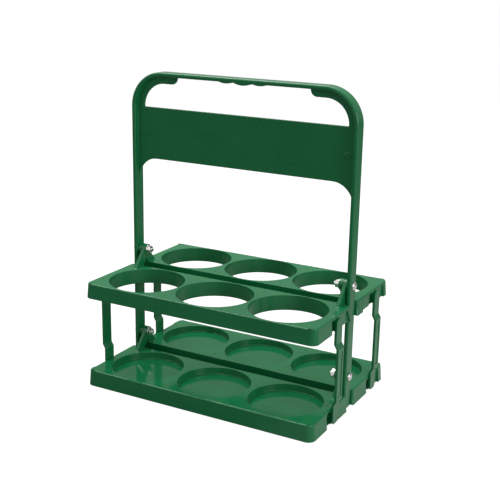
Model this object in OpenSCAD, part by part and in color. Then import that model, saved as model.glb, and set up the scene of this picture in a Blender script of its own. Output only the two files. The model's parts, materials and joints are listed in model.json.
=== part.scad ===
/* [Trays] */
// Land between an end ring and the end of its tray
end_land = 8.3; // [7.5:0.1:16]
// Land between a ring and the inner and outer edges of its tray
side_land = 1.2; // [1.2:0.1:4]
// Gap between the inner edges of the front and rear trays
tray_gap = 14.6; // [14.4:0.2:18]
// How far the skirt flares out between its top and its foot
tray_draft = 1.3; // [0.5:0.1:2]
// Radius of the two outer corners of a tray
tray_corner_r = 6; // [3:0.5:8]
// Height of an upper tray's skirt
upper_h = 15; // [14.5:0.5:18]
// Height of a lower tray's skirt
lower_h = 16; // [15:0.5:20]
// Thickness of a tray's top plate
plate_t = 2.5; // [2:0.1:3]
// Thickness of the front and rear skirt walls
skirt_t = 2; // [1.5:0.1:2.5]
// Thickness of the end walls that carry the struts
end_wall_t = 3.5; // [3.2:0.1:4.2]
// Height from a tray of the lower level to the same point of the upper level
level_pitch = 90; // [84:1:120]

/* [Bottle cells] */
// Bottles along one tray
cells = 3; // [2:1:4]
// Diameter of the rings in the upper trays
ring_d = 74; // [68:0.5:90]
// Land between one ring and the next
cell_land = 3.2; // [3:0.1:8]
// How much smaller the cups in the lower trays are than the rings
cup_step = 2.6; // [1:0.1:6]
// Depth of a cup below the top of its tray
cup_depth = 6.9; // [5:0.1:10]
// Thickness of a cup's floor
cup_floor_t = 2.5; // [2:0.1:4]
// Wall round each ring and cup
ring_wall = 1.7; // [1.7:0.1:2]

/* [Handle frame] */
// Height of the frame's top above the ground
frame_h = 303; // [295:0.5:340]
// How far the legs stand in from the ends of the trays
leg_inset = 1.9; // [1.2:0.1:3]
// Thickness of the strap that makes the legs and the grip
strap_t = 4.3; // [3.5:0.1:5.5]
// Depth of the strap from front to rear
strap_depth = 13.8; // [12:0.2:13.8]
// Outer radius of the two top corners
frame_corner_r = 34.4; // [30:0.2:40]
// Thickness of the web that fills the corners and makes the cross band
web_t = 3; // [2:0.2:5]
// Width of the strap and web together round the hand hole's corners
shoulder_w = 11.4; // [9:0.2:14]
// Drop from the frame's top to the cross band
band_drop = 34.8; // [32:0.2:44]
// Height of the cross band
band_h = 51; // [30:1:60]
// Radius of the fillets that join the band to the legs
band_fillet_r = 21; // [10:1:30]
// Distance from the frame's outer side to the end of a hook of web
hook_reach = 49.8; // [46:0.2:60]
// Radius that rounds the end of each hook of web
hook_r = 6.4; // [4:0.2:7]

/* [Finger ridges] */
// Distance from one finger ridge to the next
ridge_pitch = 17.8; // [16:0.2:24]
// How far the middle ridge stands to the right of the grip's middle
ridge_shift = 3; // [0:0.5:8]
// Radius of a ridge's curve
ridge_r = 22; // [16:1:28]
// How far the middle ridge stands out below the grip
ridge_h = 2.1; // [1:0.1:3]
// How far the two side ridges stand out below the grip
side_ridge_h = 1.3; // [0.8:0.1:3]

/* [Pivots] */
// Height of a pivot above the top of its tray
pin_rise = 16; // [14:0.5:20]
// Diameter of the pivot screws
pin_d = 4; // [3:0.5:5]
// Thickness of an ear at its boss
ear_boss_t = 4.2; // [3.6:0.1:5]
// Thickness of an ear's plate
ear_t = 3.4; // [2.4:0.1:3.4]
// Radius of the round boss at an ear's top
ear_boss_r = 5.2; // [4.4:0.1:5.8]
// Length of an ear's foot on its tray
ear_foot = 12.8; // [9:0.2:15]

/* [Struts] */
// Width of a strut
strut_w = 12.4; // [10:0.2:12.4]
// Thickness of a strut
strut_t = 2.5; // [2:0.1:3]
// Distance from the middle plane to the front right strut
strut_y_front_right = 35.8; // [35:0.2:38]
// Distance from the middle plane to the front left strut
strut_y_front_left = 48.2; // [46:0.2:50]
// Distance from the middle plane to the rear right strut
strut_y_rear_right = 54; // [50:0.2:55]
// Distance from the middle plane to the rear left strut
strut_y_rear_left = 43; // [40:0.2:45]
// How far a strut's ends sit in from the ends of the trays
strut_inset = 0.7; // [0.6:0.1:1.2]
// How far a strut steps out between its ends
strut_step = 2.5; // [2.4:0.1:4]
// Height over which a strut steps out
step_h = 4; // [3:0.5:5]
// Length from the lower pivot to the step of a right strut
right_low_end = 12.7; // [11:0.1:15]
// Length from the upper pivot to the step of a right strut
right_up_end = 18; // [14:0.1:18]
// Length from the lower pivot to the step of a left strut
left_low_end = 21.5; // [17:0.1:22]
// Length from the upper pivot to the step of a left strut
left_up_end = 9.2; // [9:0.1:14]
// Radius of the corners at a strut's foot
strut_foot_r = 3.6; // [3:0.2:5]
// Diameter of the snap studs at a strut's ends
stud_d = 5.6; // [4:0.2:6]
// Diameter of the lip that keeps a snap stud in its hole
stud_lip_d = 7; // [6.6:0.2:7.4]
// Length of that lip
stud_lip_t = 1.2; // [0.8:0.1:1.4]
// Width of the shallow channel down a strut's outer face
channel_w = 6.6; // [4:0.2:8]
// Depth of that channel
channel_depth = 0.5; // [0.2:0.1:0.8]

/* [Strut recesses] */
// Spare length of the recess past a strut's swing, at a tray's right end seen from its skirt
near_slack = 3.2; // [0.5:0.1:4]
// Spare length of the recess past a strut's swing, at the other end
far_slack = 12.5; // [0.5:0.5:13]
// Reach of an upper recess towards the skirt, at a tray's right end
near_reach = 14.8; // [14.4:0.2:18]
// Reach of an upper recess towards the skirt, at the other end
far_reach = 19; // [15:0.5:22]
// How much longer an upper recess is at its foot than at its top
recess_slant = 5; // [0:0.5:6]
// Gap between a strut's top and the lip over its recess
lip_gap = 0.9; // [0.3:0.1:0.9]
// Width of the relief slot beside each stud hole
relief_w = 9; // [8.2:0.2:9.4]
// Radius of a relief slot's corners
relief_r = 4; // [1:0.2:4]
// Thickness of the box behind a relief slot
relief_box_t = 1.4; // [1:0.1:1.5]
// Depth of that box behind its wall
relief_box_depth = 3; // [2.6:0.1:3.1]
// Thickness of the sill that closes a relief slot at its foot
relief_sill = 1; // [0.8:0.1:1.5]
// How far the sill stands back from the strut's recess
relief_setback = 1.2; // [0.5:0.1:2]

/* [Fasteners] */
// Diameter of a screw's head
head_d = 8; // [7:0.1:9]
// Height of a screw's head
head_h = 2.6; // [2:0.1:3]
// Width of a nut across its flats
nut_flats = 7; // [6.4:0.1:8]
// Height of a nut
nut_h = 3.2; // [2.4:0.1:4]
// Outer diameter of a washer
washer_d = 9; // [8:0.1:10]
// Thickness of a washer
washer_t = 0.8; // [0.5:0.1:1.2]
// Length of thread that shows past a nut
thread_tip = 1.7; // [1:0.1:2.5]
// Width of the cross slots in a screw's head
slot_w = 1; // [0.6:0.1:1.4]
// Depth of the cross slots in a screw's head
slot_depth = 1.1; // [0.6:0.1:1.6]

/* [Clearances] */
// Radial play of a shaft in its bore
bore_play = 0.08; // [0.04:0.01:0.1]
// Gap between flat faces that turn against each other
side_gap = 0.2; // [0.1:0.05:0.3]
// Gap between a strut and the recess that it swings in
swing_gap = 0.3; // [0.2:0.05:0.4]
// Gap between a strut's foot and the ground
strut_foot_gap = 0.1; // [0.1:0.1:0.5]
// Gap behind a wall before the lip of a snap stud
snap_gap = 0.4; // [0.2:0.05:0.5]

/* [Hidden] */
$fn = 96;

// Small overlap that makes cuts run clear of the faces they open
cut = 1;
// How deep an added piece is rooted in the piece that carries it
root = 1;
// How far an ear's straight sides run inside its round boss
ear_tuck = 0.1;

// Cells, and the tray's outline round them
cell_pitch = ring_d + cell_land;
cup_d = ring_d - cup_step;
cup_floor_z = lower_h - cup_depth;
half_len = (cells - 1) * cell_pitch / 2 + ring_d / 2 + end_land;
tray_depth = ring_d + 2 * side_land;
y_in = tray_gap / 2;
y_out = y_in + tray_depth;
y_mid = (y_in + y_out) / 2;

// Heights of the pivots and of the upper level
pin_z_low = lower_h + pin_rise;
pin_z_up = pin_z_low + level_pitch;
upper_top = pin_z_up - pin_rise;
upper_foot = upper_top - upper_h;

// Places along X, counted outward from the middle, of what is stacked on a pivot
leg_x_out = half_len - leg_inset;
leg_x_in = leg_x_out - strap_t;
outer_ear_x = leg_x_in - side_gap - ear_boss_t;
inner_ear_x = outer_ear_x - side_gap - ear_boss_t;
washer_x = inner_ear_x - side_gap - washer_t;
nut_x = washer_x - nut_h;
tip_x = nut_x - thread_tip;

// Struts: their ends and pivots, and the recesses that they swing in
strut_x = half_len - strut_inset;
strut_r = strut_w / 2;
strut_z_low = strut_r + strut_foot_gap;
strut_z_up = strut_z_low + level_pitch;
recess_x = strut_x - swing_gap;
recess_top = strut_z_up + strut_r + lip_gap;
// Furthest that a strut's rounded foot reaches from its lower pivot
foot_reach = sqrt(2) * (strut_r - strut_foot_r) + strut_foot_r;

// Lengths of the two kinds of strut from their lower and upper pivots to their steps
right_ends = [right_low_end, right_up_end];
left_ends = [left_low_end, left_up_end];

// What hangs at the right and left ends of a tray, seen from its skirt: the side,
// the distance of the strut from the middle plane and the lengths of its ends
front_struts = [
    [1, strut_y_front_right, right_ends],
    [-1, strut_y_front_left, left_ends]
];
rear_struts = [
    [1, strut_y_rear_left, left_ends],
    [-1, strut_y_rear_right, right_ends]
];

// Handle frame: the hand hole and the window under the band
grip_z = frame_h - strap_t;
corner_z = frame_h - frame_corner_r;
corner_x = leg_x_out - frame_corner_r;
grip_half = leg_x_out - hook_reach;
hand_r = frame_corner_r - shoulder_w;
band_top = frame_h - band_drop;
band_foot = band_top - band_h;
ridges = [
    [ridge_shift - ridge_pitch, side_ridge_h],
    [ridge_shift, ridge_h],
    [ridge_shift + ridge_pitch, side_ridge_h]
];

plastic = [0.10, 0.42, 0.24];
steel = [0.80, 0.81, 0.83];

// Cylinder along X from x0 to x1, centred on y and z
module bar_x(r, x0, x1, y, z) {
    translate([x0, y, z])
        rotate([0, 90, 0])
            cylinder(r = r, h = x1 - x0);
}

// Cylinder along Y, centred on the frame's middle plane
module bar_y(r, x, z, depth) {
    translate([x, depth / 2, z])
        rotate([90, 0, 0])
            cylinder(r = r, h = depth);
}

// Box given by its low and high corners
module block(low, high) {
    translate(low)
        cube(high - low);
}

// Outline in Y and Z, drawn out along X from x0 to x1
module slab_x(points, x0, x1) {
    translate([x0, 0, 0])
        rotate([90, 0, 90])
            linear_extrude(height = x1 - x0)
                polygon(points);
}

// Outline in X and Z, drawn out along Y from y0 to y1
module slab_y(points, y0, y1) {
    translate([0, y1, 0])
        rotate([90, 0, 0])
            linear_extrude(height = y1 - y0)
                polygon(points);
}

// Skirted block of a front tray from its foot to its top: it flares to the front and
// at both ends, and stands square at its inner edge
module tray_block(foot, top) {
    straight = half_len - tray_corner_r;
    y_corner = y_out - tray_corner_r;
    slab_x(
        [[-y_in, foot], [-y_in, top], [-y_out, top], [-y_out - tray_draft, foot]],
        -straight, straight
    );
    slab_y(
        [
            [-half_len - tray_draft, foot], [half_len + tray_draft, foot],
            [half_len, top], [-half_len, top]
        ],
        -y_corner, -y_in
    );
    for (side = [-1, 1])
        translate([side * straight, -y_corner, foot])
            cylinder(
                h = top - foot,
                r1 = tray_corner_r + tray_draft,
                r2 = tray_corner_r
            );
}

// One upright cylinder in each bottle cell of a front tray
module cell_cylinders(r, z0, z1) {
    for (i = [0:cells - 1])
        translate([(i - (cells - 1) / 2) * cell_pitch, -y_mid, z0])
            cylinder(r = r, h = z1 - z0);
}

// Hollow under a front tray's top plate, all round its rings
module tray_hollow(foot, top, ring_r) {
    difference() {
        block(
            [-half_len + end_wall_t, -y_out + skirt_t, foot - cut],
            [half_len - end_wall_t, -y_in - skirt_t, top - plate_t]
        );
        cell_cylinders(ring_r, foot - 2 * cut, top);
    }
}

// Point where a line from p touches a circle of radius r round c
function tangent_point(p, c, r, side) =
    let (
        v = p - c,
        d = norm(v),
        a = atan2(v[1], v[0]) + side * acos(r / d)
    )
    c + r * [cos(a), sin(a)];

// Ear of a front tray, from x0 to x0 + ear_boss_t, that reaches up to the pivot
module ear(x0, tray_top, pin_z) {
    pin = [0, pin_z];
    line_r = ear_boss_r - ear_tuck;
    heel = [-y_in, tray_top];
    toe = [-y_in - ear_foot, tray_top];
    margin = (ear_boss_t - ear_t) / 2;
    slab_x(
        [
            heel - [0, root], toe - [0, root], toe,
            tangent_point(toe, pin, line_r, -1), pin,
            tangent_point(heel, pin, line_r, 1), heel
        ],
        x0 + margin, x0 + margin + ear_t
    );
    bar_x(ear_boss_r, x0, x0 + ear_boss_t, 0, pin_z);
}

// Both ears of a front tray: the right one lies against its leg, the left one
// lies one place further in
module ears(tray_top, pin_z) {
    difference() {
        union() {
            ear(outer_ear_x, tray_top, pin_z);
            ear(-inner_ear_x - ear_boss_t, tray_top, pin_z);
        }
        bar_x(pin_d / 2 + bore_play, -half_len, half_len, 0, pin_z);
    }
}

// Prism at one end of a front tray, from x0 to x1 counted outward from the middle
module end_prism(side, points, x0, x1) {
    if (side > 0)
        slab_x(points, x0, x1);
    else
        slab_x(points, -x1, -x0);
}

// Prism through or into an end wall of a front tray, from x0 out past the wall
module end_cut(side, points, x0) {
    end_prism(side, points, x0, half_len + tray_draft + cut);
}

// Holes through a front tray's end walls for the studs of its struts
module stud_holes(struts, z) {
    inside = half_len - end_wall_t - cut;
    outside = half_len + tray_draft + cut;
    for (hung = struts)
        if (hung[0] > 0)
            bar_x(stud_d / 2 + bore_play, inside, outside, -hung[1], z);
        else
            bar_x(stud_d / 2 + bore_play, -outside, -inside, -hung[1], z);
}

// Recesses of an upper front tray: open at the foot, closed above by the top
// plate's lip, and long enough towards the inner edge for the folded strut
module upper_recesses(struts) {
    for (hung = struts) {
        slack = hung[0] > 0 ? near_slack : far_slack;
        y_low = -hung[1] - (hung[0] > 0 ? near_reach : far_reach);
        y_high = -hung[1] + hung[2][1] + step_h + swing_gap + slack;
        end_cut(hung[0], [
            [y_low, upper_foot - cut],
            [y_low, recess_top],
            [y_high - recess_slant, recess_top],
            [y_high, upper_foot - cut]
        ], recess_x);
    }
}

// Recesses of a lower front tray: open at the top and foot, and long enough
// towards the skirt for the folded strut
module lower_recesses(struts) {
    for (hung = struts) {
        y_low = -hung[1] - hung[2][0] - step_h - 2 * swing_gap;
        y_high = -hung[1] + foot_reach + swing_gap;
        end_cut(hung[0], [
            [y_low, -cut], [y_low, lower_h + cut],
            [y_high, lower_h + cut], [y_high, -cut]
        ], recess_x);
    }
}

// Middle of the relief slot that belongs to a strut: it lies beside the stud hole, on
// the side of the tray's middle, and leaves room there for the stud's lip and the box
function relief_y(hung) =
    -hung[1] - hung[0] * (stud_lip_d / 2 + swing_gap + relief_box_t + relief_w / 2);

// Relief slots through the end walls, from foot to top, that let the wall by each
// stud hole give when the stud snaps in
module relief_slots(struts, foot, top) {
    x0 = half_len - end_wall_t - cut;
    for (hung = struts) {
        y = relief_y(hung);
        for (y_side = [-1, 1], z = [foot + relief_r, top - relief_r]) {
            y_corner = y + y_side * (relief_w / 2 - relief_r);
            if (hung[0] > 0)
                bar_x(relief_r, x0, half_len + tray_draft + cut, y_corner, z);
            else
                bar_x(relief_r, -half_len - tray_draft - cut, -x0, y_corner, z);
        }
        end_cut(hung[0], rectangle(y, relief_w, foot + relief_r, top - relief_r), x0);
        end_cut(hung[0], rectangle(y, relief_w - 2 * relief_r, foot, top), x0);
    }
}

// Boxes that close the relief slots from behind, each with a sill at its foot
module relief_boxes(struts, foot, top) {
    x_back = half_len - end_wall_t - relief_box_depth;
    for (hung = struts) {
        y = relief_y(hung);
        difference() {
            end_prism(
                hung[0], rectangle(y, relief_w + 2 * relief_box_t, foot, top + root),
                x_back, recess_x - relief_setback
            );
            end_cut(
                hung[0], rectangle(y, relief_w, foot + relief_sill, top),
                x_back + relief_box_t
            );
        }
    }
}

// Corners of a rectangle in Y and Z, of width w centred on y, from z0 to z1
function rectangle(y, w, z0, z1) =
    [[y - w / 2, z0], [y + w / 2, z0], [y + w / 2, z1], [y - w / 2, z1]];

module upper_tray(struts) {
    color(plastic) {
        difference() {
            tray_block(upper_foot, upper_top);
            tray_hollow(upper_foot, upper_top, ring_d / 2 + ring_wall);
            cell_cylinders(ring_d / 2, upper_foot - cut, upper_top + cut);
            upper_recesses(struts);
            stud_holes(struts, strut_z_up);
            relief_slots(struts, upper_foot - relief_r - cut, recess_top);
        }
        relief_boxes(struts, upper_foot, recess_top);
        ears(upper_top, pin_z_up);
    }
}

module lower_tray(struts) {
    color(plastic) {
        difference() {
            tray_block(0, lower_h);
            tray_hollow(0, lower_h, cup_d / 2 + ring_wall);
            cell_cylinders(cup_d / 2, cup_floor_z, lower_h + cut);
            cell_cylinders(cup_d / 2, -cut, cup_floor_z - cup_floor_t);
            lower_recesses(struts);
            stud_holes(struts, strut_z_low);
            relief_slots(struts, -relief_r - cut, lower_h - plate_t);
        }
        relief_boxes(struts, 0, lower_h - plate_t);
        ears(lower_h, pin_z_low);
    }
}

module upper_tray_front() {
    upper_tray(front_struts);
}

module upper_tray_rear() {
    turned()
        upper_tray(rear_struts);
}

module lower_tray_front() {
    lower_tray(front_struts);
}

module lower_tray_rear() {
    turned()
        lower_tray(rear_struts);
}

// Turns a front or right piece half round the upright axis, to the rear or left
module turned() {
    rotate([0, 0, 180])
        children();
}

// Upright with two round top corners, from the ground up to z, as deep as asked
module arch(half_w, top, corner_r, depth) {
    block([-half_w, -depth / 2, 0], [half_w, depth / 2, top - corner_r]);
    block(
        [-half_w + corner_r, -depth / 2, 0],
        [half_w - corner_r, depth / 2, top]
    );
    for (side = [-1, 1])
        bar_y(corner_r, side * (half_w - corner_r), top - corner_r, depth);
}

// Hand hole above the band: round shoulders, then a notch up to the grip between
// two rounded hooks of web
module hand_hole() {
    depth = strap_depth;
    shoulder_z = corner_z + hand_r;
    side_x = corner_x + hand_r;
    hook_x = grip_half + hook_r;
    block([-corner_x, -depth / 2, band_top], [corner_x, depth / 2, shoulder_z]);
    if (band_top < corner_z)
        block([-side_x, -depth / 2, band_top], [side_x, depth / 2, corner_z]);
    intersection() {
        union()
            for (side = [-1, 1])
                bar_y(hand_r, side * corner_x, corner_z, depth);
        block([-leg_x_in, -depth, band_top], [leg_x_in, depth, grip_z]);
    }
    difference() {
        block([-hook_x, -depth / 2, shoulder_z - cut], [hook_x, depth / 2, grip_z]);
        for (side = [-1, 1]) {
            bar_y(hook_r, side * hook_x, shoulder_z + hook_r, 2 * depth);
            block(
                [side * hook_x - hook_r, -depth, shoulder_z + hook_r],
                [side * hook_x + hook_r, depth, frame_h]
            );
        }
    }
}

// Finger ridges under the grip
module finger_ridges() {
    for (ridge = ridges)
        intersection() {
            bar_y(ridge_r, ridge[0], grip_z - ridge[1] + ridge_r, strap_depth);
            block(
                [ridge[0] - ridge_r, -strap_depth, grip_z - ridge_r],
                [ridge[0] + ridge_r, strap_depth, grip_z + strap_t / 2]
            );
        }
}

module handle_frame() {
    color(plastic)
        difference() {
            union() {
                difference() {
                    arch(leg_x_out, frame_h, frame_corner_r, strap_depth);
                    translate([0, 0, -cut])
                        arch(leg_x_in, grip_z + cut, frame_corner_r - strap_t, 2 * strap_depth);
                }
                difference() {
                    arch(leg_x_out - strap_t / 2, frame_h - strap_t / 2,
                        frame_corner_r - strap_t / 2, web_t);
                    hand_hole();
                    translate([0, 0, -cut])
                        arch(leg_x_in, band_foot + cut, band_fillet_r, 2 * strap_depth);
                }
                finger_ridges();
            }
            for (z = [pin_z_low, pin_z_up])
                bar_x(pin_d / 2 + bore_play, -half_len, half_len, 0, z);
        }
}

// Strut at the right end, at distance y: a strap that steps out between its two
// pivots, with a snap stud at each of them
module strut(y, ends) {
    x_mid = strut_x + strut_step;
    x_far = x_mid + strut_t + cut;
    z_foot = strut_z_low - strut_r;
    z_head = strut_z_up + strut_r;
    step_low = strut_z_low + ends[0];
    step_up = strut_z_up - ends[1];
    inner_line = [
        [strut_x, z_foot], [strut_x, step_low], [x_mid, step_low + step_h],
        [x_mid, step_up - step_h], [strut_x, step_up], [strut_x, z_head]
    ];
    count = len(inner_line);
    outer_line = [for (i = [1:count]) inner_line[count - i] + [strut_t, 0]];
    stud_end = half_len - end_wall_t - snap_gap;
    foot_y = strut_r - strut_foot_r;
    color(plastic) {
        difference() {
            intersection() {
                slab_y(concat(inner_line, outer_line), y - strut_r, y + strut_r);
                union() {
                    block(
                        [strut_x - cut, y - strut_w, z_foot + strut_foot_r],
                        [x_far, y + strut_w, strut_z_up]
                    );
                    block(
                        [strut_x - cut, y - foot_y, z_foot - cut],
                        [x_far, y + foot_y, strut_z_up]
                    );
                    for (side = [-1, 1])
                        bar_x(strut_foot_r, strut_x - cut, x_far,
                            y + side * foot_y, z_foot + strut_foot_r);
                    bar_x(strut_r, strut_x - cut, x_far, y, strut_z_up);
                }
            }
            block(
                [x_mid + strut_t - channel_depth, y - channel_w / 2, step_low + 2 * step_h],
                [x_far, y + channel_w / 2, step_up - 2 * step_h]
            );
        }
        for (z = [strut_z_low, strut_z_up]) {
            bar_x(stud_d / 2, stud_end - stud_lip_t, strut_x + strut_t / 2, y, z);
            bar_x(stud_lip_d / 2, stud_end - stud_lip_t, stud_end, y, z);
        }
    }
}

module strut_front_right() {
    strut(-strut_y_front_right, right_ends);
}

module strut_rear_right() {
    strut(strut_y_rear_right, right_ends);
}

module strut_front_left() {
    turned()
        strut(strut_y_front_left, left_ends);
}

module strut_rear_left() {
    turned()
        strut(-strut_y_rear_left, left_ends);
}

// Pan head screw of the right side, its head against the leg's outer face
module screw(z) {
    dome_h = head_h / 2;
    slot_x = leg_x_out + head_h - slot_depth;
    color(steel) {
        bar_x(pin_d / 2, tip_x, leg_x_out + head_h / 2, 0, z);
        difference() {
            union() {
                bar_x(head_d / 2, leg_x_out, leg_x_out + dome_h, 0, z);
                translate([leg_x_out + dome_h, 0, z])
                    rotate([0, 90, 0])
                        cylinder(r1 = head_d / 2, r2 = head_d / 3, h = head_h - dome_h);
            }
            for (turn = [0, 90])
                translate([slot_x, 0, z])
                    rotate([turn, 0, 0])
                        block([0, -head_d / 4, -slot_w / 2], [head_h, head_d / 4, slot_w / 2]);
        }
    }
}

// Plain washer between the inner ear and the nut of the right side
module washer(z) {
    color(steel)
        difference() {
            bar_x(washer_d / 2, washer_x, washer_x + washer_t, 0, z);
            bar_x(pin_d / 2 + bore_play, washer_x - cut, washer_x + washer_t + cut, 0, z);
        }
}

// Hexagon nut of the right side
module nut(z) {
    across_corners = nut_flats / cos(30);
    color(steel)
        difference() {
            translate([nut_x, 0, z])
                rotate([0, 90, 0])
                    cylinder(d = across_corners, h = nut_h, $fn = 6);
            bar_x(pin_d / 2 + bore_play, nut_x - cut, nut_x + nut_h + cut, 0, z);
        }
}

handle_frame();
lower_tray_front();
lower_tray_rear();
upper_tray_front();
upper_tray_rear();
strut_front_left();
strut_front_right();
strut_rear_left();
strut_rear_right();
turned() screw(pin_z_low);  // screw_lower_left
screw(pin_z_low);  // screw_lower_right
turned() screw(pin_z_up);  // screw_upper_left
screw(pin_z_up);  // screw_upper_right
turned() washer(pin_z_low);  // washer_lower_left
washer(pin_z_low);  // washer_lower_right
turned() washer(pin_z_up);  // washer_upper_left
washer(pin_z_up);  // washer_upper_right
turned() nut(pin_z_low);  // nut_lower_left
nut(pin_z_low);  // nut_lower_right
turned() nut(pin_z_up);  // nut_upper_left
nut(pin_z_up);  // nut_upper_right
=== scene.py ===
"""Folding six pack carrier in moulded green plastic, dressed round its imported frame."""
import json
import math

import bmesh
import bpy
from mathutils import Matrix, Vector

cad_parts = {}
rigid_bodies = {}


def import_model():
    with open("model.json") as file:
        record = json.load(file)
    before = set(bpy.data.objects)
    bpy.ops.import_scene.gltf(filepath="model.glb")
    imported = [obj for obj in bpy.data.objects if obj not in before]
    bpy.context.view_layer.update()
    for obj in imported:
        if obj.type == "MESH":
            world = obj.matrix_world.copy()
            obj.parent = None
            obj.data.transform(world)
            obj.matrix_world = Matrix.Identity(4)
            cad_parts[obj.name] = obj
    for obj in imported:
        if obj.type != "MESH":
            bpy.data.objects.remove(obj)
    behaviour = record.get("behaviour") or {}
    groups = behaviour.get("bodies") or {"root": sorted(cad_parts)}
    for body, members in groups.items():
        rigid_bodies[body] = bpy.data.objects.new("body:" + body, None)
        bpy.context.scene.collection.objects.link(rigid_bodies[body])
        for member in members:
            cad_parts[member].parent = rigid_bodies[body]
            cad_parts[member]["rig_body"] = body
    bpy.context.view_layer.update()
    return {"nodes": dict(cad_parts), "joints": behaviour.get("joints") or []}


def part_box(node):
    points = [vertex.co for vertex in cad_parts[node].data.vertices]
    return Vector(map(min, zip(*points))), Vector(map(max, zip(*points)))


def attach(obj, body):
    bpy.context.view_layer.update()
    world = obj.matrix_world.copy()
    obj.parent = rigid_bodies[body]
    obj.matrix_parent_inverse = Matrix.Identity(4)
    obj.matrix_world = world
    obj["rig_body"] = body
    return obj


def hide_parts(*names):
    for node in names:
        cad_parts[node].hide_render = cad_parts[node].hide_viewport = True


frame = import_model()

# The carrier stands at Z = 0, with its length along X and its front towards -Y
MM = 0.001

# Camera, as fitted to the photograph: it looks down at the carrier from its front right.
# Angles are in degrees, lengths in metres, the lens and the sensor in millimetres.
CAMERA_AZIMUTH = 28.584
CAMERA_ELEVATION = 16.156
CAMERA_ROLL = 1.095
CAMERA_DISTANCE = 0.939456
AIM_RIGHT = 0.010369
AIM_UP = 0.137852
LENS = 69.655
SENSOR = 36.0


def make_camera():
    """Places the camera round the carrier and turns it about its own line of sight."""
    a, e = math.radians(CAMERA_AZIMUTH), math.radians(CAMERA_ELEVATION)
    back = Vector((math.sin(a) * math.cos(e), -math.cos(a) * math.cos(e), math.sin(e)))
    level = Vector((math.cos(a), math.sin(a), 0))
    up = back.cross(level)
    r = math.radians(CAMERA_ROLL)
    right = level * math.cos(r) + up * math.sin(r)
    top = up * math.cos(r) - level * math.sin(r)
    aim = level * AIM_RIGHT + Vector((0, 0, AIM_UP))
    data = bpy.data.cameras.new("camera")
    data.lens = LENS
    data.sensor_width = SENSOR
    camera = bpy.data.objects.new("camera", data)
    bpy.context.scene.collection.objects.link(camera)
    turn = Matrix((right, top, back)).transposed()
    camera.matrix_world = Matrix.Translation(aim + back * CAMERA_DISTANCE) @ turn.to_4x4()
    bpy.context.scene.camera = camera


# Materials. A noise is given by its scale, detail and roughness, a range by what it
# takes and what it gives, and a bump by its height in metres and its strength.
GREEN_DEEP = (0.005, 0.172, 0.054, 1)
GREEN_LIGHT = (0.008, 0.202, 0.066, 1)
GREEN_FLECK = (0.018, 0.260, 0.105, 1)
PLASTIC_IOR = 1.45
CLOUD_NOISE = (14, 3, 0.55)
CLOUD_SHARE = 0.6
CLOUD_ROUGH = (0.3, 0.7, 0.08, 0.13)
STREAK_STRETCH = (6, 40, 60)
STREAK_NOISE = (4, 4, 0.6)
STREAK_SHARE = 0.4
SHADE_RANGE = (0.3, 0.7, 0, 1)
FLECK_NOISE = (900, 1, 0.5)
FLECK_RANGE = (0.62, 0.8, 0, 0.18)
SCRATCH_STRETCH = (30, 900, 900)
SCRATCH_NOISE = (1, 2, 0.5)
SCRATCH_ROUGH = (0.6, 0.75, 0, 0.06)
SCRATCH_BUMP = (0.00002, 0.2)
DRAW_ROUGH = (0.2, 0.8, 0.17, 0)
RIPPLE_NOISE = (35, 2, 0.4)
RIPPLE_BUMP = (0.0004, 0.25)
PEEL_NOISE = (700, 2, 0.5)
PEEL_BUMP = (0.00003, 0.5)
STEEL_LIGHT = (0.82, 0.82, 0.80, 1)
STEEL_DULL = (0.62, 0.61, 0.58, 1)
SPOT_NOISE = (600, 3, 0.6)
SPOT_RANGE = (0.35, 0.7, 0, 1)
SPOT_ROUGH = (0.3, 0.7, 0.06, 0.16)
GRAIN_STRETCH = (2500, 200, 200)
GRAIN_NOISE = (1, 2, 0.5)
GRAIN_ROUGH = (0.3, 0.7, 0, 0.08)
GRAIN_BUMP = (0.00002, 0.4)


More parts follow.
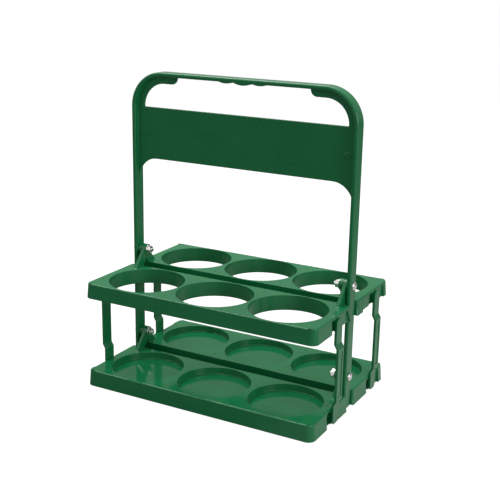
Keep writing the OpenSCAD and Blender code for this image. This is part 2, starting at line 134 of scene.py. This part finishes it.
class Nodes:
    """Short calls that add nodes to one material or world and link them."""

    def __init__(self, owner, output="ShaderNodeOutputMaterial"):
        owner.use_nodes = True
        self.owner = owner
        self.tree = owner.node_tree
        self.tree.nodes.clear()
        self.output = self.add(output)

    def add(self, kind, **settings):
        node = self.tree.nodes.new(kind)
        for key, value in settings.items():
            setattr(node, key, value)
        return node

    def put(self, socket, value):
        if isinstance(value, bpy.types.NodeSocket):
            self.tree.links.new(value, socket)
        else:
            socket.default_value = value

    def place(self):
        return self.add("ShaderNodeTexCoord").outputs["Object"]

    def split(self, vector):
        node = self.add("ShaderNodeSeparateXYZ")
        self.put(node.inputs[0], vector)
        return node.outputs

    def noise(self, place, scale, detail, roughness):
        node = self.add("ShaderNodeTexNoise")
        self.put(node.inputs["Vector"], place)
        node.inputs["Scale"].default_value = scale
        node.inputs["Detail"].default_value = detail
        node.inputs["Roughness"].default_value = roughness
        return node.outputs["Fac"]

    def stretched(self, place, scale):
        node = self.add("ShaderNodeMapping")
        self.put(node.inputs["Vector"], place)
        node.inputs["Scale"].default_value = scale
        return node.outputs["Vector"]

    def ranged(self, value, low, high, out_low, out_high):
        node = self.add("ShaderNodeMapRange")
        self.put(node.inputs["Value"], value)
        for key, number in (("From Min", low), ("From Max", high),
                            ("To Min", out_low), ("To Max", out_high)):
            node.inputs[key].default_value = number
        return node.outputs["Result"]

    def math(self, operation, a, b=0):
        node = self.add("ShaderNodeMath", operation=operation)
        self.put(node.inputs[0], a)
        self.put(node.inputs[1], b)
        return node.outputs[0]

    def mixed(self, factor, a, b):
        node = self.add("ShaderNodeMix", data_type="RGBA")
        self.put(node.inputs["Factor"], factor)
        self.put(node.inputs["A"], a)
        self.put(node.inputs["B"], b)
        return node.outputs["Result"]

    def bump(self, height, distance, strength, normal=None):
        node = self.add("ShaderNodeBump")
        self.put(node.inputs["Height"], height)
        node.inputs["Distance"].default_value = distance
        node.inputs["Strength"].default_value = strength
        if normal is not None:
            self.put(node.inputs["Normal"], normal)
        return node.outputs["Normal"]

    def seen(self, mirror):
        """1 where the camera looks straight at it, and mirror in gloss and glass."""
        rays = self.add("ShaderNodeLightPath").outputs
        mirrored = self.math("MAXIMUM", rays["Is Glossy Ray"], rays["Is Transmission Ray"])
        return self.math("MAXIMUM", rays["Is Camera Ray"], self.math("MULTIPLY", mirrored, mirror))

    def principled(self, **values):
        node = self.add("ShaderNodeBsdfPrincipled")
        for key, value in values.items():
            self.put(node.inputs[key.replace("_", " ")], value)
        self.put(self.output.inputs["Surface"], node.outputs["BSDF"])


def green_plastic():
    """Glossy moulded polypropylene: a slow change of depth in its colour, flow
    streaks, a faint ripple and the hair scratches of a used mould. Walls that lie
    along the mould's draw are duller than flat tops."""
    n = Nodes(bpy.data.materials.new("green plastic"))
    place = n.place()
    cloud = n.noise(place, *CLOUD_NOISE)
    streak = n.noise(n.stretched(place, STREAK_STRETCH), *STREAK_NOISE)
    fleck = n.noise(place, *FLECK_NOISE)
    scratch = n.noise(n.stretched(place, SCRATCH_STRETCH), *SCRATCH_NOISE)
    shade = n.math(
        "ADD",
        n.math("MULTIPLY", cloud, CLOUD_SHARE),
        n.math("MULTIPLY", streak, STREAK_SHARE),
    )
    colour = n.mixed(n.ranged(shade, *SHADE_RANGE), GREEN_DEEP, GREEN_LIGHT)
    colour = n.mixed(n.ranged(fleck, *FLECK_RANGE), colour, GREEN_FLECK)
    normal_z = n.split(n.add("ShaderNodeTexCoord").outputs["Normal"])["Z"]
    rough = n.math("ADD", n.ranged(cloud, *CLOUD_ROUGH), n.ranged(scratch, *SCRATCH_ROUGH))
    rough = n.math("ADD", rough, n.ranged(n.math("ABSOLUTE", normal_z), *DRAW_ROUGH))
    ripple = n.bump(n.noise(place, *RIPPLE_NOISE), *RIPPLE_BUMP)
    peel = n.bump(n.noise(place, *PEEL_NOISE), *PEEL_BUMP, ripple)
    normal = n.bump(scratch, *SCRATCH_BUMP, peel)
    n.principled(Base_Color=colour, Roughness=rough, Normal=normal, IOR=PLASTIC_IOR)
    return n.owner


def plated_steel():
    """Bright nickel plate with a faint brushing and small dull spots."""
    n = Nodes(bpy.data.materials.new("plated steel"))
    place = n.place()
    spot = n.noise(place, *SPOT_NOISE)
    grain = n.noise(n.stretched(place, GRAIN_STRETCH), *GRAIN_NOISE)
    colour = n.mixed(n.ranged(spot, *SPOT_RANGE), STEEL_LIGHT, STEEL_DULL)
    rough = n.math("ADD", n.ranged(spot, *SPOT_ROUGH), n.ranged(grain, *GRAIN_ROUGH))
    normal = n.bump(grain, *GRAIN_BUMP)
    n.principled(Base_Color=colour, Metallic=1.0, Roughness=rough, Normal=normal)
    return n.owner


# What every piece shares
def mesh_object(name, bm, material, smooth=True):
    """Makes an object from a bmesh, with one material."""
    data = bpy.data.meshes.new(name)
    bm.to_mesh(data)
    bm.free()
    data.materials.append(material)
    for face in data.polygons:
        face.use_smooth = smooth
    piece = bpy.data.objects.new(name, data)
    bpy.context.scene.collection.objects.link(piece)
    return piece


def body_of(node):
    """Body that a CAD node moves with."""
    return frame["nodes"][node]["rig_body"]


def pin_height(tray):
    """Height of the pivot that a tray turns on."""
    joint = next(j for j in frame["joints"] if j["child"] == body_of(tray))
    return joint["pos_m"][2]


def join_rings(bm, first, second):
    """Joins two rings of points by a band of faces."""
    for i in range(len(first)):
        j = (i + 1) % len(first)
        bm.faces.new((first[i], first[j], second[j], second[i]))


# Edge radii of the mouldings. The largest is the bevel's width, and the others are
# weights of it.
CORNER_R = 2.5 * MM
STRAP_R = 1.7 * MM
RIM_R = 1.2 * MM
SOFT_R = 0.8 * MM
EDGE_R = 0.5 * MM
FINE_R = 0.35 * MM
TINY_R = 0.15 * MM
BEVEL_STEPS = 3

# Limits that tell the solids' faces and edges apart. A face without area has no angle
# to its neighbours, and counts as turned by NO_ANGLE, which is past every limit.
WELD = 1e-6
SHARP_ANGLE = math.radians(25)
FLAT_ANGLE = math.radians(0.3)
COPLANAR = math.radians(0.2)
ROUND_ANGLE = math.radians(60)
NO_ANGLE = 4
LEAST_ANGLE = 5e-5
QUAD = 4
NEAR = 0.05 * MM
FACETS_NEAR = 3 * NEAR

# Least area that a face counts with where normals are blended
FACET_AREA = 120 * MM * MM

# Sizes of the solids, by which the rules know their edges
PIN_RISE = 16 * MM
DRAFT = 1.3 * MM
END_WALL = 3.5 * MM
TRAY_IN = 7.3 * MM
TRAY_OUT = 83.7 * MM
RECESS_DEPTH = 1.0 * MM
CUP_DEPTH = 6.9 * MM
BOSS_R = 5.2 * MM
BORE_R = 2.08 * MM
WEB_HALF = 2.0 * MM
STRUT_X = 121.8 * MM
STRUT_T = 2.5 * MM
STUD_R = 3.6 * MM
CHANNEL_HALF = 3.3 * MM


def plane_areas(bm):
    """Gives each face the area of the flat region that it belongs to. The facets of a
    curved wall all count the same."""
    areas = {}
    for seed in bm.faces:
        if seed in areas:
            continue
        region, queue = {seed}, [seed]
        while queue:
            face = queue.pop()
            for edge in face.edges:
                for other in edge.link_faces:
                    if other in region:
                        continue
                    if other.normal.angle(face.normal, NO_ANGLE) < COPLANAR:
                        region.add(other)
                        queue.append(other)
        whole = sum(face.calc_area() for face in region)
        areas.update({face: max(whole, FACET_AREA) for face in region})
    return areas


def shaded_normals(bm, is_round):
    """Normals for every face corner: flat faces stay flat up to their rounded edges,
    curved walls are smooth, and each rounded edge turns between its neighbours."""
    areas = plane_areas(bm)

    def blended(faces, vert):
        total = Vector()
        for face in faces:
            loop = next(loop for loop in face.loops if loop.vert == vert)
            total += face.normal * areas[face] * max(loop.calc_angle(), LEAST_ANGLE)
        return total.normalized()

    def turned_less(face, limit, others):
        return [o for o in others if o.normal.angle(face.normal, NO_ANGLE) < limit]

    normals = []
    for face in bm.faces:
        for loop in face.loops:
            around = loop.vert.link_faces
            walls = [o for o in around if not o[is_round] and o.normal.length > 0]
            lead = face
            if face[is_round] and walls:
                lead = min(walls, key=lambda o: o.normal.angle(face.normal, NO_ANGLE))
            near = turned_less(lead, SHARP_ANGLE, walls) or turned_less(face, ROUND_ANGLE, around)
            normals.append(blended(near, loop.vert) if near else face.normal.copy())
    return normals


def rounded(data, radius_at):
    """Rounds a mesh's edges by the radius that radius_at gives for an edge's middle.
    The rounded faces get material index 1."""
    bm = bmesh.new()
    bm.from_mesh(data)
    bmesh.ops.remove_doubles(bm, verts=bm.verts, dist=WELD)
    bmesh.ops.dissolve_limit(bm, angle_limit=FLAT_ANGLE, verts=bm.verts, edges=bm.edges)
    large = [face for face in bm.faces if len(face.verts) > QUAD]
    bmesh.ops.triangulate(bm, faces=large, ngon_method="BEAUTY")
    weight = bm.edges.layers.float.new("bevel_weight_edge")
    for edge in bm.edges:
        if edge.calc_face_angle(0) > SHARP_ANGLE:
            middle = (edge.verts[0].co + edge.verts[1].co) / 2
            edge[weight] = radius_at(middle) / CORNER_R
    sharp = bpy.data.meshes.new("sharp")
    bm.to_mesh(sharp)
    bm.free()
    holder = bpy.data.objects.new("sharp", sharp)
    bpy.context.scene.collection.objects.link(holder)
    sharp.materials.append(None)
    sharp.materials.append(None)
    bevel = holder.modifiers.new("rounded edges", "BEVEL")
    bevel.limit_method = "WEIGHT"
    bevel.width = CORNER_R
    bevel.segments = BEVEL_STEPS
    bevel.use_clamp_overlap = False
    bevel.loop_slide = False
    bevel.material = 1
    done = holder.evaluated_get(bpy.context.evaluated_depsgraph_get()).to_mesh()
    bm = bmesh.new()
    bm.from_mesh(done)
    bpy.data.objects.remove(holder)
    bpy.data.meshes.remove(sharp)
    return bm


def moulded(node, radius_at, material):
    """Copies a CAD node's solid with rounded edges, and lets the copy stand for it."""
    bm = rounded(frame["nodes"][node].data, radius_at)
    is_round = bm.faces.layers.int.new("is_round")
    for face in bm.faces:
        face[is_round] = face.material_index
        face.material_index = 0
    normals = shaded_normals(bm, is_round)
    bm.faces.layers.int.remove(is_round)
    piece = mesh_object(node + "_moulded", bm, material)
    piece.data.normals_split_custom_set(normals)
    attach(piece, body_of(node))
    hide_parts(node)


def tray_radius(node):
    """Rule for a tray's edge radii, from where its box and its pivot are."""
    low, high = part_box(node)
    pin_z = pin_height(node)
    top = pin_z - PIN_RISE
    half_len = high.x - DRAFT

    def radius(middle):
        if math.hypot(middle.y, middle.z - pin_z) < BOSS_R + FACETS_NEAR:
            return TINY_R
        if middle.z > top + NEAR:
            return EDGE_R
        end = abs(middle.x) > half_len - END_WALL - NEAR
        if middle.z > top - NEAR:
            outer = end or abs(middle.y) > TRAY_OUT - NEAR
            return RIM_R if outer else FINE_R
        if middle.z < low.z + NEAR:
            return FINE_R
        if abs(abs(middle.y) - TRAY_IN) < NEAR and end:
            return CORNER_R
        if abs(middle.x) > half_len - RECESS_DEPTH - NEAR:
            return FINE_R
        if abs(middle.z - top + CUP_DEPTH) < NEAR:
            return SOFT_R
        return 0

    return radius


def frame_radius(middle):
    """Rule for the handle frame's edge radii: the bores stay sharp."""
    pins = [j["pos_m"][2] for j in frame["joints"] if j["parent"] == "frame"]
    if min(math.hypot(middle.y, middle.z - z) for z in pins) < BORE_R + FACETS_NEAR:
        return 0
    if middle.z < NEAR:
        return EDGE_R
    return SOFT_R if abs(middle.y) < WEB_HALF else STRAP_R


def strut_radius(node):
    """Rule for a strut's edge radii: its outline is soft, its channel fine, and its
    studs, which sit in the trays' holes, are sharp."""
    low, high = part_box(node)
    outer = max(abs(low.x), abs(high.x))
    y_mid = (low.y + high.y) / 2

    def radius(middle):
        x = abs(middle.x)
        off_middle = abs(middle.y - y_mid)
        if x < STRUT_X - NEAR or (x < STRUT_X + NEAR and off_middle < STUD_R):
            return 0
        in_channel = off_middle < CHANNEL_HALF + NEAR and x > outer - STRUT_T / 2
        return TINY_R if in_channel else EDGE_R

    return radius


# Fasteners, with their sizes
NUT_FLATS = 7.0 * MM
NUT_FACE = 0.94
NUT_CHAMFER = 0.6 * MM
NUT_SLOPE = 1.9
NUT_ROWS = 6
NUT_POINTS = 96
BORE_SINK = 0.25 * MM
WASHER_R = 4.5 * MM
WASHER_BORE = 2.15 * MM
WASHER_EDGE = 0.15 * MM
WASHER_BEND = 0.3 * WASHER_EDGE
WASHER_POINTS = 64
THREAD_R = 1.98 * MM
THREAD_DEPTH = 0.3 * MM
THREAD_PITCH = 0.7 * MM
THREAD_STEPS = 10
THREAD_LENGTH = 4.9 * MM
TIP_R = THREAD_R - 2 * THREAD_DEPTH
SHANK_R = 1.99 * MM
HEAD_R = 4.0 * MM
HEAD_H = 2.6 * MM
HEAD_EDGE = 0.15 * MM
HEAD_RIM = 0.9 * MM
HEAD_STEPS = 14
DOME_POWER = 0.75
SCREW_POINTS = 48
CROSS_ARMS = 4
CROSS_TOP = (2.2 * MM, 0.55 * MM)
CROSS_FOOT = (1.0 * MM, 0.35 * MM)
CROSS_DEPTH = 1.6 * MM
STEEL_SHARP = math.radians(32)
TURN_STEP = math.radians(47)


def lathe(rows, count):
    """Open skin turned about the X axis: each row is its place along X and its
    radius, a number or a rule for each angle."""
    bm = bmesh.new()
    rings = []
    for x, radius in rows:
        ring = []
        for i in range(count):
            angle = 2 * math.pi * i / count
            r = radius(angle) if callable(radius) else radius
            ring.append(bm.verts.new((x, r * math.cos(angle), r * math.sin(angle))))
        rings.append(ring)
    for first, second in zip(rings, rings[1:]):
        join_rings(bm, first, second)
    return bm, rings


def hexagon(angle):
    """Distance from a nut's middle to its side, as a share of that to its flats."""
    return 1 / math.cos((angle + math.pi / 6) % (math.pi / 3) - math.pi / 6)


def nut_mesh(x0, x1):
    """Hexagon nut with its corners turned off on both faces and a countersunk bore."""
    half = NUT_FLATS / 2

    def cut(rise):
        return lambda angle: min(half * hexagon(angle), half * NUT_FACE + rise * NUT_SLOPE)

    rises = [NUT_CHAMFER * i / NUT_ROWS for i in range(NUT_ROWS + 1)]
    rows = [(x0 + BORE_SINK, THREAD_R), (x0, THREAD_R + BORE_SINK)]
    rows += [(x0 + rise, cut(rise)) for rise in rises]
    rows += [(x1 - rise, cut(rise)) for rise in reversed(rises)]
    rows += [(x1, THREAD_R + BORE_SINK), (x1 - BORE_SINK, THREAD_R)]
    bm, rings = lathe(rows, NUT_POINTS)
    join_rings(bm, rings[-1], rings[0])
    return bm


def washer_mesh(x0, x1):
    """Flat washer, blanked: its edges are a little round."""
    edge, bend = WASHER_EDGE, WASHER_BEND
    rows = [(x0 + edge, WASHER_BORE), (x0, WASHER_BORE + edge)]
    rows += [(x0, WASHER_R - edge), (x0 + bend, WASHER_R - bend), (x0 + edge, WASHER_R)]
    rows += [(x1 - edge, WASHER_R), (x1 - bend, WASHER_R - bend), (x1, WASHER_R - edge)]
    rows += [(x1, WASHER_BORE + edge), (x1 - edge, WASHER_BORE)]
    bm, rings = lathe(rows, WASHER_POINTS)
    join_rings(bm, rings[-1], rings[0])
    return bm


def thread_rows(x0, x1):
    """Rows of a threaded rod: the crest turns round the rod as it goes along."""
    count = int((x1 - x0) / THREAD_PITCH * THREAD_STEPS)
    rows = []
    for i in range(count + 1):
        x = x0 + (x1 - x0) * i / count

        def radius(angle, x=x):
            wave = abs(2 * ((x / THREAD_PITCH + angle / (2 * math.pi)) % 1) - 1)
            fade = min(1, (x - x0) / THREAD_PITCH)
            return THREAD_R - THREAD_DEPTH * (1 - wave * fade)

        rows.append((x, radius))
    return rows


def screw_mesh(x0, x1):
    """Pan head screw with its head outward: threaded tip, plain shank, domed head."""
    seat = x1 - HEAD_H
    thread_end = x0 + THREAD_LENGTH
    rows = [(x0, TIP_R)] + thread_rows(x0, thread_end)
    rows += [(thread_end + THREAD_DEPTH, SHANK_R), (seat, SHANK_R)]
    rows += [(seat, HEAD_R - HEAD_EDGE), (seat + HEAD_EDGE, HEAD_R), (seat + HEAD_RIM, HEAD_R)]
    for i in range(1, HEAD_STEPS):
        angle = math.pi / 2 * i / HEAD_STEPS
        height = HEAD_RIM + (HEAD_H - HEAD_RIM) * math.sin(angle)
        rows.append((seat + height, HEAD_R * math.cos(angle) ** DOME_POWER))
    bm, rings = lathe(rows, SCREW_POINTS)
    bm.faces.new(reversed(rings[0]))
    bm.faces.new(rings[-1])
    return bm


def cross_mesh(x_top):
    """Tapered cross that is cut into a screw's head."""
    bm = bmesh.new()
    rings = []
    for x, reach, half in ((x_top + HEAD_EDGE, *CROSS_TOP), (x_top - CROSS_DEPTH, *CROSS_FOOT)):
        ring = []
        for i in range(CROSS_ARMS):
            angle = 2 * math.pi * i / CROSS_ARMS
            c, s = math.cos(angle), math.sin(angle)
            for a, b in ((reach, -half), (reach, half), (half, half)):
                ring.append(bm.verts.new((x, a * c - b * s, a * s + b * c)))
        rings.append(ring)
    join_rings(bm, rings[1], rings[0])
    bm.faces.new(rings[0])
    bm.faces.new(reversed(rings[1]))
    return bm


def cut_away(piece, cutter):
    """Takes the cutter's solid out of a piece's mesh."""
    cut = piece.modifiers.new("cross", "BOOLEAN")
    cut.object = cutter
    cut.solver = "EXACT"
    done = piece.evaluated_get(bpy.context.evaluated_depsgraph_get())
    mesh = bpy.data.meshes.new_from_object(done)
    piece.modifiers.clear()
    piece.data = mesh
    bpy.data.objects.remove(cutter)


def fastener(node, turn, material):
    """Screw, nut or washer in place of a CAD node, turned about its own axis."""
    low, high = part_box(node)
    x0, x1 = sorted((abs(low.x), abs(high.x)))
    build = {"screw": screw_mesh, "nut": nut_mesh, "washer": washer_mesh}[node.split("_")[0]]
    piece = mesh_object(node + "_detailed", build(x0, x1), material)
    if node.startswith("screw"):
        cut_away(piece, mesh_object("cross", cross_mesh(x1), material))
    half_turn = Matrix.Rotation(0 if high.x > 0 else math.pi, 4, "Z")
    middle = Vector((0, (low.y + high.y) / 2, (low.z + high.z) / 2))
    piece.data.transform(Matrix.Translation(middle) @ half_turn @ Matrix.Rotation(turn, 4, "X"))
    bm = bmesh.new()
    bm.from_mesh(piece.data)
    bmesh.ops.recalc_face_normals(bm, faces=bm.faces)
    bm.to_mesh(piece.data)
    bm.free()
    piece.data.set_sharp_from_angle(angle=STEEL_SHARP)
    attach(piece, body_of(node))
    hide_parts(node)


# Moulding marks. Each row of a mark is its share of the outline and of the height.
PIP_ROWS = ((1.0, -0.5), (1.0, 0.15), (0.93, 0.6), (0.84, 0.9), (0.7, 1.0))
PIP_POINTS = 28
PIP_POWER = 0.3
TORN_RISE = 0.5
TEAR = 0.35
TEAR_WAVES = (5, 3)
TEAR_SHIFT = 1
GATE_SIZE = (4.6 * MM, 1.8 * MM, 0.45 * MM)
GATES_FRONT = ((-38 * MM, -74.5 * MM), (37 * MM, -15 * MM))
GATES_REAR = ((38 * MM, 74.5 * MM), (-37.5 * MM, 17 * MM))
PIN_MARK_SIZE = (7.0 * MM, 7.0 * MM, 0.18 * MM)
PIN_MARK_PLACE = (109 * MM, -1.5 * MM, 242 * MM)


def pip_mesh(length, width, height):
    """Low lump with sloping sides. A round one is the even disc of a pin, and a long
    one is the stub of a gate, torn along its top."""
    bm = bmesh.new()
    rings = []
    for share, rise in PIP_ROWS:
        ring = []
        for i in range(PIP_POINTS):
            angle = 2 * math.pi * i / PIP_POINTS
            c, s = math.cos(angle), math.sin(angle)
            x = math.copysign(abs(c) ** PIP_POWER, c) * (length - width) / 2 + c * width / 2
            wave = math.sin(TEAR_WAVES[0] * angle + TEAR_SHIFT) * math.sin(TEAR_WAVES[1] * angle)
            tear = 1 + TEAR * wave if rise > TORN_RISE and length > width else 1
            ring.append(bm.verts.new((share * x, share * s * width / 2, rise * tear * height)))
        rings.append(ring)
    for first, second in zip(rings, rings[1:]):
        join_rings(bm, first, second)
    bm.faces.new(reversed(rings[0]))
    bm.faces.new(rings[-1])
    bmesh.ops.recalc_face_normals(bm, faces=bm.faces)
    return bm


def gate_marks(node, material):
    """Two torn gate stubs on the land between a tray's cells."""
    low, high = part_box(node)
    top = pin_height(node) - PIN_RISE
    is_rear = high.y > abs(low.y)
    for name, (x, y) in zip("ab", GATES_REAR if is_rear else GATES_FRONT):
        piece = mesh_object(f"{node}_gate_{name}", pip_mesh(*GATE_SIZE), material)
        piece.data.transform(Matrix.Translation((x, y, top)))
        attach(piece, body_of(node))


def pin_mark(material):
    """Faint disc that an ejector pin left on the band's front face."""
    piece = mesh_object("band_pin_mark", pip_mesh(*PIN_MARK_SIZE), material)
    upright = Matrix.Rotation(math.pi / 2, 4, "X")
    piece.data.transform(Matrix.Translation(PIN_MARK_PLACE) @ upright)
    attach(piece, body_of("handle_frame"))


# Stage. Each lamp is its name, place, aim, size and power.
WHITE = (1, 1, 1, 1)
FLOOR_HALF = 20.0
FLOOR_DROP = 0.0002
FLOOR_COLOUR = (0.2, 0.2, 0.2, 1)
FLOOR_GLOW = 0.92
# Painted pool of light and painted shadow in the floor's glow that gloss mirrors: the pool is
# centred beside the carrier's right end, and the shadow fades it out towards its left half.
PAINTED_POOL_SPOT = (0.16, 0, 0)
PAINTED_POOL_FADE = (0, 0.6, 0.6, 0.05)
PAINTED_SHADOW_FADE = (0.04, 0.13, 0, 1)
ROOM_RISE = (0, 1, 0.33, 0.42)
FRONT_FADE = (-0.3, 0.5, 1, 0)
LAMPS = (
    ("overhead", (-0.45, 0.25, 1.45), (0, 0, 0.1), 1.1, 22),
    ("right", (1.7, -0.35, 0.5), (0, 0, 0.12), 0.8, 10),
)


def make_floor():
    """Floor that shows as white to the camera and darkens only where the carrier's
    shadow falls. In gloss its glow is a painted pool of light, brightest beside the
    carrier's right end, and painted shadow takes it away under the left half."""
    bm = bmesh.new()
    corners = [(-1, -1), (1, -1), (1, 1), (-1, 1)]
    bm.faces.new([bm.verts.new((FLOOR_HALF * x, FLOOR_HALF * y, -FLOOR_DROP)) for x, y in corners])
    n = Nodes(bpy.data.materials.new("floor"))
    diffuse = n.add("ShaderNodeBsdfDiffuse")
    diffuse.inputs["Color"].default_value = FLOOR_COLOUR
    # The glow that gloss mirrors is a painted pool of light beside the carrier's right end, with
    # painted shadow taking it away under the left half.
    away = n.add("ShaderNodeVectorMath", operation="DISTANCE")
    n.put(away.inputs[0], n.place())
    away.inputs[1].default_value = PAINTED_POOL_SPOT
    painted_pool = n.ranged(away.outputs["Value"], *PAINTED_POOL_FADE)
    side = n.ranged(n.split(n.place())["X"], *PAINTED_SHADOW_FADE)
    glow = n.add("ShaderNodeEmission")
    shown = n.seen(n.math("MULTIPLY", painted_pool, side))
    n.put(glow.inputs["Strength"], n.math("MULTIPLY", shown, FLOOR_GLOW))
    both = n.add("ShaderNodeAddShader")
    n.put(both.inputs[0], diffuse.outputs[0])
    n.put(both.inputs[1], glow.outputs[0])
    n.put(n.output.inputs["Surface"], both.outputs[0])
    mesh_object("floor", bm, n.owner, smooth=False)


def make_world():
    """Pale room light, a little stronger overhead. The camera sees the room as white,
    and gloss mirrors it as white towards the front and as it is towards the back."""
    world = bpy.data.worlds.new("room")
    bpy.context.scene.world = world
    n = Nodes(world, "ShaderNodeOutputWorld")
    way = n.split(n.add("ShaderNodeTexCoord").outputs["Generated"])
    room = n.ranged(way["Z"], *ROOM_RISE)
    front = n.ranged(way["Y"], *FRONT_FADE)
    background = n.add("ShaderNodeBackground")
    background.inputs["Color"].default_value = WHITE
    n.put(background.inputs["Strength"], n.math("MAXIMUM", room, n.seen(front)))
    n.put(n.output.inputs["Surface"], background.outputs[0])


def lamp(name, place, aim, size, power):
    """Square soft lamp at a place, turned to its aim."""
    data = bpy.data.lights.new(name, "AREA")
    data.size = size
    data.energy = power
    light = bpy.data.objects.new(name, data)
    bpy.context.scene.collection.objects.link(light)
    light.location = place
    light.rotation_mode = "QUATERNION"
    light.rotation_quaternion = (Vector(aim) - Vector(place)).to_track_quat("-Z", "Y")


make_camera()
green = green_plastic()
steel = plated_steel()
for node in frame["nodes"]:
    if "tray" in node:
        moulded(node, tray_radius(node), green)
    elif node.startswith("strut"):
        moulded(node, strut_radius(node), green)
    elif node == "handle_frame":
        moulded(node, frame_radius, green)
fasteners = [node for node in frame["nodes"] if node.startswith(("screw", "nut", "washer"))]
for turn, node in enumerate(fasteners):
    fastener(node, turn * TURN_STEP, steel)
for node in frame["nodes"]:
    if "tray" in node:
        gate_marks(node, green)
pin_mark(green)

make_floor()
make_world()
for row in LAMPS:
    lamp(*row)

view = bpy.context.scene.view_settings
view.view_transform = "Standard"
